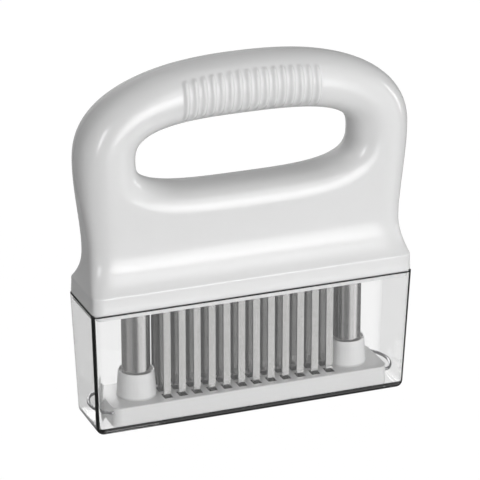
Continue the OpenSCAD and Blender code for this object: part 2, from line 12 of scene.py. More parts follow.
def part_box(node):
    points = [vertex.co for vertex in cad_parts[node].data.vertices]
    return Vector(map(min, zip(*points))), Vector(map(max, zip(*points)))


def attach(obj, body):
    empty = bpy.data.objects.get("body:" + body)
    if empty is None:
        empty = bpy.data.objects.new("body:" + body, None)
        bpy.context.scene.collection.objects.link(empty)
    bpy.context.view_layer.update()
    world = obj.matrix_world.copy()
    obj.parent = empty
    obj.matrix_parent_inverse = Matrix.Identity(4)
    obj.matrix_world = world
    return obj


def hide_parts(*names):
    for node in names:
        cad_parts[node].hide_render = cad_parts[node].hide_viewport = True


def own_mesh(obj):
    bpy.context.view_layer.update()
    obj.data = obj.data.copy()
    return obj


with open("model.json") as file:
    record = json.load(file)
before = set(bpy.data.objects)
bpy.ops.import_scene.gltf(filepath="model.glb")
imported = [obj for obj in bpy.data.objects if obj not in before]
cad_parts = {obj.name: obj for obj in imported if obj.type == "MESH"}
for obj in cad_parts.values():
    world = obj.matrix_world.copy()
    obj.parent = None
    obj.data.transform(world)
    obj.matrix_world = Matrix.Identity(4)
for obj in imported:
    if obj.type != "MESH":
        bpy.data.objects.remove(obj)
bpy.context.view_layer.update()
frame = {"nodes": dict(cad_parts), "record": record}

bl_info = {
    "name": "Blade meat tenderizer",
    "version": (1, 0, 0),
    "blender": (4, 5, 0),
    "location": "View3D > Sidebar > Tenderizer",
    "description": "Builds the visible pieces of a blade meat tenderizer and its stage",
    "category": "Object",
}

SIDES = ("left", "right")
ROWS_OF_BLADES = ("front", "middle", "rear")
PLASTICS = ("white_plastic", "natural_plastic")
PLATE_THICK = 0.0082  # the foot plate without its bosses
HOUSING_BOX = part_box("handle_housing")
COVER_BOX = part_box("clear_cover")


# ---- Sizes and colours that a user would change ----


def length(name, description, default):
    return FloatProperty(
        name=name, description=description, default=default, unit="LENGTH", precision=5
    )


def angle(name, description, degrees):
    return FloatProperty(
        name=name, description=description, default=math.radians(degrees), subtype="ANGLE"
    )


def amount(name, description, default):
    return FloatProperty(name=name, description=description, default=default, min=0, precision=5)


def colour(name, description, default):
    return FloatVectorProperty(
        name=name, description=description, default=default, size=3, subtype="COLOR", min=0, max=1
    )


class HousingSizes(bpy.types.PropertyGroup):
    """Sizes of the loop-handle housing, in metres"""

    skirt_top: length("Skirt top", "Height of the crease where the shoulder starts", 0.0594)
    shoulder: length("Shoulder", "Height of the curved shoulder", 0.0136)
    neck_depth: length("Neck depth", "Depth of the neck, front to back", 0.020)
    neck_inset: length("Neck inset", "Step from the skirt's ends to the neck's", 0.0022)
    grip_height: length("Grip height", "Thickness of the grip, top to bottom", 0.024)
    grip_depth: length("Grip depth", "Thickness of the grip, front to back", 0.0246)
    arm: length("Arm", "Thickness of each arm of the loop", 0.0246)
    opening_low: length("Opening floor", "Height of the finger opening's floor", 0.09814)
    opening_wide: length("Opening widest", "Height at which the finger opening is widest", 0.11114)
    bridge_roll: length("Bridge roll", "Reach of the rounding of the opening's floor", 0.011)
    crease: length("Crease", "Reach of the rounding of the skirt's crease", 0.0004)
    rib_pitch: length("Rib pitch", "Distance between two grip ribs", 0.00364)
    rib_width: length("Rib width", "Width of a grip rib", 0.0020)
    rib_height: length("Rib height", "Height of a grip rib", 0.0010)
    ribs: IntProperty(name="Ribs", description="Number of grip ribs", default=16, min=0, max=20)


class CoverSizes(bpy.types.PropertyGroup):
    """Sizes of the clear cover, in metres"""

    wall: length("Wall", "Thickness of the walls", 0.0012)
    floor: length("Floor", "Thickness of the floor", 0.002)
    outer_round: length("Outer rounding", "Radius of the outer corners and edges", 0.003)
    inner_round: length("Inner rounding", "Radius of the inner corners and edges", 0.0009)
    rim_round: length("Rim rounding", "Radius of the rim's two edges", 0.0002)
    draft: angle("Draft", "Lean of each wall", 2.2)


class MechanismSizes(bpy.types.PropertyGroup):
    """Sizes of the columns, springs, clips and plates, in metres"""

    tube_wall: length("Tube wall", "Wall of a column tube", 0.0008)
    tube_lip: length("Tube lip", "Rounding at a tube's ends", 0.0002)
    plate_edge: length("Plate edge", "Rounding of the foot plate's edges", 0.0007)
    boss_edge: length("Boss edge", "Rounding of the edges at a boss's top", 0.00045)
    blade_edge: length("Blade edge", "Rounding of a blade's long edges", 0.00006)
    spring_wire: length("Spring wire", "Diameter of the spring wire", 0.0009)
    clip_wire: length("Clip wire", "Diameter of the clip wire", 0.0013)
    clip_bow: length("Clip bow", "Radius of a clip's long bow", 0.014)
    clip_bend: length("Clip bend", "Radius of the bend between a leg and the bow", 0.0026)
    spring_coils: IntProperty(name="Spring coils", description="In a spring", default=22, min=4)


class Finishes(bpy.types.PropertyGroup):
    """Colours of the materials"""

    white: colour("White plastic", "Of the housing and the foot plate", (0.80, 0.80, 0.80))
    natural: colour("Natural plastic", "Of the inner plastic pieces", (0.72, 0.71, 0.67))
    blade: colour("Blade steel", "Of the ground blades", (0.47, 0.467, 0.46))
    tube: colour("Tube steel", "Of the drawn tubes", (0.505, 0.50, 0.495))
    wire: colour("Wire steel", "Of the drawn wire", (0.32, 0.32, 0.33))
    clear: colour("Clear plastic", "Tint of the clear cover", (0.94, 0.94, 0.94))


class StageSettings(bpy.types.PropertyGroup):
    """Camera and light"""

    distance: length("Distance", "Distance from the camera to the origin", 1.2296)
    azimuth: angle("Azimuth", "Camera's turn, less than 0 to the left", -21.27)
    elevation: angle("Elevation", "Camera's height", 24.76)
    lens: amount("Lens", "Focal length in millimetres", 226.6)
    ambient: amount("Ambient", "Strength of the even light", 0.25)
    key: amount("Key", "Power of the front softbox in watts", 13.5)


SETTINGS = {
    "tenderizer_housing": HousingSizes,
    "tenderizer_cover": CoverSizes,
    "tenderizer_mechanism": MechanismSizes,
    "tenderizer_finishes": Finishes,
    "tenderizer_stage": StageSettings,
}


def setting(name):
    return getattr(bpy.context.scene, "tenderizer_" + name)


# ---- Shader nodes ----


def fill(tree, node, inputs):
    """Feeds inputs, given by name or number, with sockets or values"""
    for key, value in dict(inputs).items():
        if isinstance(value, bpy.types.NodeSocket):
            tree.links.new(value, node.inputs[key])
        else:
            node.inputs[key].default_value = value


def add_node(tree, kind, inputs=(), **settings):
    """A new node with its settings and inputs"""
    node = tree.nodes.new(kind)
    for name, value in settings.items():
        setattr(node, name, value)
    fill(tree, node, inputs)
    return node


def math_node(tree, operation, *values, clamp=False):
    """The result of a Math node, from sockets or numbers"""
    node = add_node(tree, "ShaderNodeMath", enumerate(values), operation=operation, use_clamp=clamp)
    return node.outputs[0]


def vector_node(tree, operation, source, other=(0, 0, 0)):
    """A Vector Math node between a socket and a fixed vector"""
    return add_node(tree, "ShaderNodeVectorMath", enumerate((source, other)), operation=operation)


def step_node(tree, value, low, high):
    """0 below low, 1 above high and a soft step between them"""
    inputs = {"Value": value, "From Min": low, "From Max": high}
    node = add_node(tree, "ShaderNodeMapRange", inputs, interpolation_type="SMOOTHSTEP")
    return node.outputs["Result"]


def blended(tree, share, first, second):
    """The first shader where the share is 0, and the second where it is 1"""
    return add_node(tree, "ShaderNodeMixShader", enumerate((share, first, second))).outputs[0]


# ---- Materials ----

PLASTIC_IOR = 1.49
NOISE_LOW, NOISE_HIGH = 0.3, 0.7  # the range in which nearly all values of a noise lie


def new_material(name):
    """A material with its node tree, its Principled shader and its output"""
    material = bpy.data.materials.new(name)
    material.use_nodes = True
    tree = material.node_tree
    tree.nodes.clear()
    output = tree.nodes.new("ShaderNodeOutputMaterial")
    shader = tree.nodes.new("ShaderNodeBsdfPrincipled")
    tree.links.new(shader.outputs["BSDF"], output.inputs["Surface"])
    return material, tree, shader, output


def object_place(tree):
    return tree.nodes.new("ShaderNodeTexCoord").outputs["Object"]


def noise(tree, waves, detail=2.0, roughness=0.55):
    """Noise on Object coordinates with its own number of waves per metre along each axis"""
    mapping = add_node(tree, "ShaderNodeMapping", {"Vector": object_place(tree), "Scale": waves})
    inputs = {"Vector": mapping.outputs[0], "Scale": 1.0, "Detail": detail, "Roughness": roughness}
    return add_node(tree, "ShaderNodeTexNoise", inputs).outputs["Fac"]


def spread(tree, source, low, high):
    """A noise's values, mapped to the range from low to high"""
    inputs = {"Value": source, "From Min": NOISE_LOW, "From Max": NOISE_HIGH}
    inputs.update({"To Min": low, "To Max": high})
    return add_node(tree, "ShaderNodeMapRange", inputs).outputs["Result"]


def two_tones(tree, source, colour_value, low, high, shades=()):
    """The colour, scaled between low and high by the source, and darkened by painted shade in some
    places
    """
    ramp = add_node(tree, "ShaderNodeValToRGB", {"Fac": source})
    ends = ((NOISE_LOW, low), (NOISE_HIGH, high))
    for element, (position, share) in zip(ramp.color_ramp.elements, ends):
        element.position = position
        element.color = (*(min(c * share, 1) for c in colour_value), 1)
    tones = ramp.outputs["Color"]
    for place, share in shades:
        tones = shaded(tree, tones, place(tree), share)
    return tones


def place_on(tree):
    """The place on the piece, as outputs X, Y and Z"""
    return add_node(tree, "ShaderNodeSeparateXYZ", {0: object_place(tree)}).outputs


def shaded(tree, colour_socket, mask, share):
    """Painted shade: the colour, darkened to a share of itself where the mask is 1"""
    node = add_node(
        tree, "ShaderNodeMix", {"Factor": mask}, data_type="RGBA", blend_type="MULTIPLY"
    )
    first, second = (i for i in node.inputs if i.type == "RGBA")
    tree.links.new(colour_socket, first)
    second.default_value = (share, share, share, 1)
    return next(o for o in node.outputs if o.type == "RGBA")


def relief(tree, source, depth):
    """The normals of the source's relief, so many metres deep"""
    inputs = {"Strength": 1.0, "Distance": depth, "Height": source}
    return add_node(tree, "ShaderNodeBump", inputs).outputs["Normal"]


def near(tree, value, level, reach):
    """A soft step from 0 to 1 between two distances from a level, in metres"""
    return step_node(tree, value, level + reach[0], level + reach[1])


def in_slots(tree):
    """1 on the walls of the foot plate's slots, which get painted shade"""
    below_top, past_blades, inside_rim = (-0.00002, -0.0001), (0.0016, 0.0012), (-0.0004, -0.0008)
    low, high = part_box("foot_plate")
    place = place_on(tree)
    x, y = (math_node(tree, "ABSOLUTE", place[axis]) for axis in "XY")
    across = near(tree, x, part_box("blades_front")[1].x, past_blades)
    along = near(tree, y, high.y, inside_rim)
    below = near(tree, place["Z"], low.z + PLATE_THICK, below_top)
    return math_node(tree, "MULTIPLY", math_node(tree, "MULTIPLY", across, along), below)


def on_plate_top(tree):
    """1 on the foot plate's upper face, which the housing keeps in the shade"""
    below, above = (-0.0005, -0.0001), (0.0012, 0.0002)
    top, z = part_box("foot_plate")[0].z + PLATE_THICK, place_on(tree)["Z"]
    return math_node(tree, "MULTIPLY", near(tree, z, top, below), near(tree, z, top, above))


def under_grip(tree):
    """1 on the finger opening's floor, which the grip keeps in the shade"""
    below, above, beside_arm = (-0.0085, -0.0005), (0.012, 0.001), (0.004, -0.018)
    sizes, place = setting("housing"), place_on(tree)
    floor = [near(tree, place["Z"], sizes.opening_low, reach) for reach in (below, above)]
    x = math_node(tree, "ABSOLUTE", place["X"])
    beside = near(tree, x, HOUSING_BOX[1].x - sizes.arm, beside_arm)
    return math_node(tree, "MULTIPLY", math_node(tree, "MULTIPLY", *floor), beside)


def into_stack(tree):
    """1 on the blade faces that look at other blades and get painted shade, 0 on the ones that look
    out
    """
    through_blade = (0.00005, -0.00005)
    low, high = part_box("blades_rear")
    y = math_node(tree, "ABSOLUTE", place_on(tree)["Y"])
    return near(tree, y, (low.y + high.y) / 2, through_blade)


def moulded_plastic(name, colour_value, rough, pebble, shades=()):
    """Plastic with faint flow clouds in its colour, uneven gloss, a moulded skin and painted shade
    in the given places
    """
    material, tree, shader, _ = new_material(name)
    clouds = noise(tree, (30, 30, 30))
    tones = two_tones(tree, clouds, colour_value, 0.992, 1.004, shades)
    gloss = spread(tree, noise(tree, (90, 90, 90), detail=3.0), rough * 0.93, rough * 1.07)
    skin = relief(tree, noise(tree, (1500, 1500, 1500)), pebble)
    inputs = {"Base Color": tones, "Roughness": gloss, "Normal": skin, "IOR": PLASTIC_IOR}
    fill(tree, shader, inputs)
    return material


def drawn_steel(name, colour_value, rough, stretch, scratch, shades=()):
    """Steel with fine lines along one direction, darker and rougher in patches, with painted shade
    in the given places
    """
    material, tree, shader, _ = new_material(name)
    lines = noise(tree, stretch, detail=1.0, roughness=0.5)
    tones = two_tones(tree, lines, colour_value, 0.95, 1.04, shades)
    gloss = spread(tree, noise(tree, (160, 160, 12)), rough * 0.92, rough * 1.1)
    skin = relief(tree, lines, scratch)
    fill(tree, shader, {"Base Color": tones, "Roughness": gloss, "Normal": skin, "Metallic": 1.0})
    return material


def clear_plastic(name, tint):
    """Clear plastic that bends what is seen through it and lets the lamps reach what it holds"""
    material, tree, shader, output = new_material(name)
    # Painted shade: the tint is nearly black along the bottom of the front wall and along the rim,
    # where the long way through the plastic looks dark
    at_rim, at_wall, dark_share = (-0.0004, -0.0002), (0.0012, 0.0008), 0.002
    place = place_on(tree)
    sizes, box = setting("cover"), COVER_BOX[1]
    wall_y = box.y - box.z * math.tan(sizes.draft) - sizes.wall
    low = step_node(tree, place["Z"], sizes.outer_round * 1.1, sizes.outer_round)
    in_front = near(tree, place["Y"], -wall_y, at_wall)
    rim = near(tree, place["Z"], box.z, at_rim)
    dark = math_node(tree, "MAXIMUM", math_node(tree, "MULTIPLY", low, in_front), rim)
    ripple = noise(tree, (26, 26, 40))
    inputs = {
        "Base Color": two_tones(tree, dark, tint, 1.0, dark_share),
        "Roughness": spread(tree, ripple, 0.0, 0.02),
        "Normal": relief(tree, ripple, 0.00002),
        "IOR": PLASTIC_IOR,
        "Transmission Weight": 1.0,
    }
    fill(tree, shader, inputs)
    path = tree.nodes.new("ShaderNodeLightPath").outputs
    passing = tree.nodes.new("ShaderNodeBsdfTransparent").outputs["BSDF"]
    for_even_light = blended(tree, path["Is Diffuse Ray"], shader.outputs["BSDF"], passing)
    for_lamps = blended(tree, path["Is Shadow Ray"], for_even_light, passing)
    tree.links.new(for_lamps, output.inputs["Surface"])
    return material


MATERIALS = {}


def finish_of(slot):
    """The material of one of the record's slots: all are made when one is first asked for"""
    if not MATERIALS:
        colours, along_z, any_way = setting("finishes"), (1500, 1500, 9), (900, 900, 900)
        MATERIALS.update(
            # Painted shade: the white plastic is darkened in the foot plate's slots, on the
            # opening's floor and on the foot plate's top
            white_plastic=moulded_plastic(
                "White moulded plastic", colours.white, rough=0.22, pebble=0.000002,
                shades=((in_slots, 0.06), (under_grip, 0.76), (on_plate_top, 0.72)),
            ),
            natural_plastic=moulded_plastic(
                "Natural moulded plastic", colours.natural, rough=0.42, pebble=0.000004
            ),
            # Painted shade: the blade faces that look into the stack are darkened
            blade_steel=drawn_steel(
                "Ground blade steel", colours.blade, rough=0.15, stretch=along_z,
                scratch=0.0000001, shades=((into_stack, 0.3),),
            ),
            column_steel=drawn_steel(
                "Drawn tube steel", colours.tube, rough=0.17, stretch=along_z, scratch=0.0000003
            ),
            wire_steel=drawn_steel(
                "Drawn wire steel", colours.wire, rough=0.22, stretch=any_way, scratch=0.0000005
            ),
            clear_plastic=clear_plastic("Clear moulded plastic", colours.clear),
        )
    return MATERIALS[slot]


SLOT_OF_NODE = {s["node"]: s["material_slot"] for s in frame["record"]["subparts"]}
BODY_OF_NODE = {
    node: body for body, nodes in frame["record"]["behaviour"]["bodies"].items() for node in nodes
}


# ---- Helpers for the pieces ----


def dress(piece, slot):
    """Gives a piece the finish of a material slot, and shows it the lamps if it is of plastic"""
    piece.data.materials.clear()
    piece.data.materials.append(finish_of(slot))
    if slot in PLASTICS:
        lamp_lit().objects.link(piece)


def new_object(name, data):
    """An object of the scene"""
    made = bpy.data.objects.new(name, data)
    bpy.context.scene.collection.objects.link(made)
    return made


def from_bmesh(name, bm):
    mesh = bpy.data.meshes.new(name)
    bm.to_mesh(mesh)
    bm.free()
    return new_object(name, mesh)


def add_piece(bm, name, node):
    """Turns a bmesh into the piece that stands for a node, on its body and with its finish"""
    piece = from_bmesh(name, bm)
    dress(piece, SLOT_OF_NODE[node])
    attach(piece, BODY_OF_NODE[node])
    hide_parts(node)
    return piece


def merge_and_face_out(bm, distance=1e-6):
    bmesh.ops.remove_doubles(bm, verts=bm.verts, dist=distance)
    bmesh.ops.recalc_face_normals(bm, faces=bm.faces)


def smooth_curved_faces(bm, sharp=math.radians(32), flat_area=6e-6):
    """Shades curved surfaces smooth, and keeps large flat faces and sharp edges as they are"""
    for face in bm.faces:
        face.smooth = face.calc_area() < flat_area or len(face.verts) > 4
    for edge in bm.edges:
        edge.smooth = not edge.is_manifold or edge.calc_face_angle(0.0) < sharp


def mirror(bm, axis):
    geom = bm.verts[:] + bm.edges[:] + bm.faces[:]
    bmesh.ops.mirror(bm, geom=geom, axis=axis, merge_dist=2e-6)


def smooth_sides(bm):
    """Shades all but the ends of a swept form smooth"""
    for face in bm.faces:
        face.smooth = len(face.verts) <= 4


def copy_of_node(node):
    """A merged copy of a CAD node with its flat faces joined"""
    bm = bmesh.new()
    bm.from_mesh(frame["nodes"][node].data)
    bmesh.ops.remove_doubles(bm, verts=bm.verts, dist=1e-7)
    bmesh.ops.dissolve_limit(
        bm, angle_limit=math.radians(0.4), verts=bm.verts, edges=bm.edges,
        use_dissolve_boundaries=False,
    )
    return bm


def sharp_edges(bm, test, least=math.radians(30)):
    """Outward edges that turn by more than an angle, and whose ends pass a test"""
    sharp = [e for e in bm.edges if e.is_convex and e.calc_face_angle(0.0) > least]
    return [e for e in sharp if all(test(v.co) for v in e.verts)]


def round_edges(bm, edges, radius, segments):
    if edges:
        bmesh.ops.bevel(
            bm, geom=edges, offset=radius, offset_type="OFFSET", segments=segments, profile=0.5,
            affect="EDGES", material=-1, clamp_overlap=True,
        )


def turned(points, centre, steps=96):
    """A closed ring turned from a profile of (radius, height) points about an upright axis"""
    bm = bmesh.new()
    verts = [bm.verts.new((centre.x + r, centre.y, z)) for r, z in points]
    edges = [bm.edges.new((a, b)) for a, b in zip(verts, verts[1:] + verts[:1])]
    bmesh.ops.spin(
        bm, geom=verts + edges, cent=centre, axis=(0, 0, 1), angle=math.tau, steps=steps,
        use_merge=True, use_duplicate=False,
    )
    merge_and_face_out(bm)
    smooth_curved_faces(bm, flat_area=1.0)
    return bm


# ---- The loop-handle housing ----


def share_of(value, low, high):
    """How far a value is on the way from low to high, from 0 to 1"""
    return min(max((value - low) / (high - low), 0.0), 1.0)


def ease(share):
    """A share from 0 to 1 with a soft start and end"""
    return share * share * (3 - 2 * share)


def mix(a, b, share):
    return a + (b - a) * share


def even_points(curve, count):
    """Points at even steps of length along a finely drawn curve"""
    reach = [0.0]
    for a, b in zip(curve, curve[1:]):
        reach.append(reach[-1] + (b - a).length)
    made, k = [], 0
    for i in range(count + 1):
        want = reach[-1] * i / count
        while k < len(curve) - 2 and reach[k + 1] < want:
            k += 1
        made.append(curve[k].lerp(curve[k + 1], share_of(want, reach[k], reach[k + 1])))
    return made


class HousingForm:
    """The housing's surface as functions of place, for the quarter to the right and in front"""

    # Squareness of the loop's outer line, of the opening's top and floor, and of the rounded edges
    OUTER_POWER, TOP_POWER, LOW_POWER, ROLL_POWER = 2.33, 2.9, 3.4, 2.15
    # Rounding of the upright corners: depth front to back, and reach along the length
    SKIRT_CORNER, NECK_CORNER = 0.003, 0.006
    SKIRT_REACH, NECK_REACH = 0.0045, 0.010
    EDGE_LAND, SKIRT_FLARE, LOWER_EDGE, INSIDE_COVER = 0.0012, 0.0003, 0.0004, 0.0001
    FLAT_SHARE, JOIN_SHARE, CORNER_POWER = 0.8, 0.28, 2.5
    # Angles round the grip from its underside: where a rib ends, and where it grows from and to
    RIB_TOP, RIB_FADE = math.radians(126), (math.radians(34), math.radians(64))
    BESIDE_RIBS = 0.25  # of the ribs' pitch
    # Numbers of faces
    ROWS, STRIP, SHOULDER_STEPS, RIB_STEPS, FINE = 34, 2, 9, 8, 200
    BRIDGE_STEPS, CORNER_STEPS, SIDE_STEPS, ARM_STEPS = 18, 9, 10, 18
    # Rings near the crease, in reaches of its rounding, and on the skirt, as shares of its height
    CREASE_CLEAR, CREASE_RINGS = 1.6, (1.2, 0.7, 0.2, -0.3, -0.8, -1.4)
    SKIRT_RINGS = (0.7, 0.45, 0.22)

    def __init__(self, sizes):
        low, high = HOUSING_BOX
        self.s = sizes
        self.base, self.top = low.z, high.z
        self.arm_x = high.x
        self.skirt_x = COVER_BOX[1].x - self.INSIDE_COVER
        self.skirt_y = COVER_BOX[1].y - self.INSIDE_COVER
        self.neck_z = sizes.skirt_top + sizes.shoulder
        self.opening_x = self.arm_x - sizes.arm
        self.mid_z = sizes.opening_wide
        # Half length, half height and squareness of the loop's lines
        opening_top = self.top - sizes.grip_height
        self.outer_line = (self.arm_x, self.top - self.mid_z, self.OUTER_POWER)
        self.top_line = (self.opening_x, opening_top - self.mid_z, self.TOP_POWER)
        self.low_line = (self.opening_x, sizes.opening_low - self.mid_z, self.LOW_POWER)
        self.join_z = mix(self.neck_z, sizes.opening_low, self.JOIN_SHARE)
        self.flat_x = self.opening_x * self.FLAT_SHARE
        self.rib_x = sizes.rib_pitch * (sizes.ribs / 2 + self.BESIDE_RIBS)

    def shoulder(self, z):
        """0 at the skirt's crease and 1 at the neck, with the crease itself rounded"""
        d, reach = z - self.s.skirt_top, self.s.crease
        if d <= -reach:
            return 0.0
        if d < reach:
            return (d + reach) ** 2 / (2 * reach * self.s.shoulder)
        return 1 - (1 - share_of(d, 0, self.s.shoulder)) ** 2

    def skirt(self, half, z):
        """The skirt flares a little toward its lower edge, and stands upright at its crease"""
        return half - self.SKIRT_FLARE * (1 - (1 - share_of(z, self.base, self.s.skirt_top)) ** 2)

    def along(self, z, skirt, neck, arm, arm_z=None):
        """A value at a height, from those of the skirt, the neck and the middle of the arms"""
        if z < self.neck_z:
            return mix(skirt, neck, self.shoulder(z))
        return mix(neck, arm, ease(share_of(z, self.neck_z, arm_z or self.mid_z)))

    def half_x(self, z):
        neck_x = self.skirt_x - self.s.neck_inset
        return self.along(z, self.skirt(self.skirt_x, z), neck_x, self.arm_x)

    def half_y(self, z):
        skirt_y, grip_z = self.skirt(self.skirt_y, z), self.top - self.s.grip_height / 2
        return self.along(z, skirt_y, self.s.neck_depth / 2, self.s.grip_depth / 2, grip_z)

    def end_reach(self, z):
        return self.along(z, self.SKIRT_REACH, self.NECK_REACH, self.s.arm / 2)

    def end_depth(self, z):
        return self.along(z, self.SKIRT_CORNER, self.NECK_CORNER, self.half_y(z))

    def roll(self, d, reach):
        """Rounding of an edge: 0 at the edge and 1 from the distance reach inward"""
        q = share_of(d, 0, reach)
        return (1 - (1 - q) ** self.ROLL_POWER) ** (1 / self.ROLL_POWER)

    def outline(self, line, turn):
        """A point [x, z] on a quarter of a squared ellipse about the middle of the arms"""
        half_wide, half_high, power = line
        x = half_wide * abs(math.cos(turn)) ** (2 / power)
        return Vector((x, self.mid_z + half_high * math.sin(turn) ** (2 / power)))

    def height_on(self, line, x):
        half_wide, half_high, power = line
        return self.mid_z + half_high * max(1 - (x / half_wide) ** power, 0) ** (1 / power)

    def stations(self):
        """Pairs of points [x, z], on the opening's edge and the outer line, of bridge and ring"""
        low_x = self.half_x(self.join_z)
        bridge = []
        for k in range(self.BRIDGE_STEPS + 1):
            x = self.flat_x * k / self.BRIDGE_STEPS
            bridge.append((Vector((x, self.height_on(self.low_line, x))), Vector((x, self.join_z))))
        low_curve = []
        for i in range(self.FINE + 1):
            x = mix(self.flat_x, self.opening_x, math.sin(math.pi / 2 * i / self.FINE))
            low_curve.append(Vector((x, self.height_on(self.low_line, x))))
        low_curve.append(Vector((self.opening_x, self.mid_z)))
        turn = even_points(low_curve, self.CORNER_STEPS + self.SIDE_STEPS)
        for k in range(1, self.CORNER_STEPS + 1):
            x = mix(self.flat_x, low_x, 1 - (1 - k / self.CORNER_STEPS) ** self.CORNER_POWER)
            bridge.append((turn[k], Vector((x, self.join_z))))
        ring = [bridge[-1]]
        for k in range(1, self.SIDE_STEPS + 1):
            z = mix(self.join_z, self.mid_z, k / self.SIDE_STEPS)
            ring.append((turn[self.CORNER_STEPS + k], Vector((self.half_x(z), z))))
        ring += self.arm_stations()
        count = round(self.rib_x / (self.s.rib_pitch / self.RIB_STEPS))
        for k in range(1, count + 1):
            x = self.rib_x * (1 - k / count)
            low, high = (self.height_on(line, x) for line in (self.top_line, self.outer_line))
            ring.append((Vector((x, low)), Vector((x, high))))
        return bridge, ring

    def arm_stations(self):
        """From the middle of the arm up to where the ribs may start"""

        def curve(line):
            points = [self.outline(line, math.pi / 2 * i / self.FINE) for i in range(self.FINE + 1)]
            kept = [p for p in points if p.x > self.rib_x]
            kept.append(Vector((self.rib_x, self.height_on(line, self.rib_x))))
            return even_points(kept, self.ARM_STEPS)

        return list(zip(curve(self.top_line), curve(self.outer_line)))[1:]

    def section_y(self, p_in, p_out, s):
        """Half depth at a share s of the way from the opening's edge to the outer line"""
        p, full = p_in.lerp(p_out, s), (p_out - p_in).length
        if p_out.y > self.mid_z - 1e-6:
            in_reach = out_reach = full / 2
            d_out, out_depth = (1 - s) * full, self.half_y(p.y)
        else:
            up_arm = ease(share_of(p_out.y, self.join_z, self.mid_z))
            in_reach = mix(self.s.bridge_roll, self.s.arm / 2, up_arm)
            out_reach, out_depth = self.end_reach(p.y), self.end_depth(p.y)
            d_out = self.half_x(p.y) - p.x
        y = self.half_y(p.y) * self.roll(s * full, in_reach)
        return max(y - out_depth * (1 - self.roll(d_out, out_reach)), self.EDGE_LAND * s)

    def rib(self, x, turn):
        """Height of the grip's ribs at x, and at an angle round the grip from its underside"""
        pitch, half = self.s.rib_pitch, self.s.rib_width / 2
        if abs(x) > pitch * self.s.ribs / 2:
            return 0.0
        across = abs((x / pitch) % 1.0 - 0.5) * pitch
        radius = self.s.grip_depth / 2
        beyond = max(turn - self.RIB_TOP, 0.0) * radius
        ridge = math.sqrt(max(1 - (across * across + beyond * beyond) / (half * half), 0.0))
        return self.s.rib_height * ridge * ease(share_of(turn, *self.RIB_FADE))

    def on_section(self, pair, row):
        """A point of the surface: rows run from the opening outward, the last across the end"""
        p_in, p_out = pair
        s = (1 - math.cos(math.pi * min(row / self.ROWS, 1.0))) / 2
        p, y = p_in.lerp(p_out, s), self.section_y(p_in, p_out, s)
        if row > self.ROWS:
            y *= 1 - (row - self.ROWS) / self.STRIP
        if row == 0:
            y = 0.0
        point = Vector((p.x, -y, p.y))
        if p_out.y > self.mid_z and p_out.x <= self.rib_x + 1e-6 and row <= self.ROWS:
            turn = math.acos(1 - 2 * s)
            point += Vector((0, -math.sin(turn), -math.cos(turn))) * self.rib(p.x, turn)
        return point

    def levels(self):
        """Heights from the join down to the skirt's lower edge"""
        s = self.s
        rings = [mix(self.join_z, self.neck_z, k / 3) for k in range(4)]
        for k in range(self.SHOULDER_STEPS - 1, 0, -1):
            z = s.skirt_top + s.shoulder * (1 - math.cos(math.pi / 2 * k / self.SHOULDER_STEPS))
            if z > s.skirt_top + self.CREASE_CLEAR * s.crease:
                rings.append(z)
        rings += [s.skirt_top + s.crease * k for k in self.CREASE_RINGS]
        rings += [mix(self.base, s.skirt_top, share) for share in self.SKIRT_RINGS]
        rings.append(self.base + self.LOWER_EDGE)
        return rings

    def on_level(self, u, strip, z):
        x = u * self.half_x(z)
        rolled = self.roll(self.half_x(z) - x, self.end_reach(z))
        y = self.half_y(z) - self.end_depth(z) * (1 - rolled)
        return Vector((x, -y * (1 - strip / self.STRIP), z))


# The hollow under the housing: half length, half depth and height of each ring of its wall, where
# no height means the housing's lower edge
HOLLOW = (
    *((0.0540, 0.0104, z) for z in (None, 0.0604, 0.0612)),
    *((0.0534, 0.0078, z) for z in (0.0612, 0.0620, 0.0918, 0.0928)),
    (0.0526, 0.0070, 0.0928),
    (0.0526, 0.0, 0.0928),
)


def draw_patch(bm, columns, rows, place):
    """A grid whose points are laid on a surface"""
    made = bmesh.ops.create_grid(bm, x_segments=columns, y_segments=rows, size=1.0)
    for v in made["verts"]:
        v.co = place(round((v.co.x + 1) * columns / 2), round((v.co.y + 1) * rows / 2))


def housing_mesh(sizes):
    form = HousingForm(sizes)
    bridge, ring = form.stations()
    bm = bmesh.new()
    last = len(bridge) - 1
    draw_patch(bm, last, form.ROWS, lambda i, j: form.on_section(bridge[i], j))
    draw_patch(bm, len(ring) - 1, form.ROWS + form.STRIP, lambda i, j: form.on_section(ring[i], j))
    # From the join down: outside, lower edge, then up the hollow's wall and over its roof
    low_x, levels, edge = form.half_x(form.join_z), form.levels(), form.LOWER_EDGE

    def below(i, j):
        u, strip = bridge[min(i, last)][1].x / low_x, max(i - last, 0)
        if j < len(levels):
            return form.on_level(u, strip, levels[j])
        on_skirt = form.on_level(u, strip, form.base)
        rings = ((form.skirt_x - edge, form.skirt_y - edge, None), *HOLLOW)
        half_x, half_y, z = rings[j - len(levels)]
        x, y = on_skirt.x / form.skirt_x * half_x, on_skirt.y / form.skirt_y * half_y
        return Vector((x, y, z or form.base))

    draw_patch(bm, last + form.STRIP, len(levels) + len(HOLLOW), below)
    bmesh.ops.remove_doubles(bm, verts=bm.verts, dist=2e-6)
    mirror(bm, "X")
    mirror(bm, "Y")
    bmesh.ops.dissolve_degenerate(bm, edges=bm.edges, dist=1e-7)
    merge_and_face_out(bm, 2e-6)
    for face in bm.faces:
        face.smooth = True
    return bm


# ---- The clear cover ----


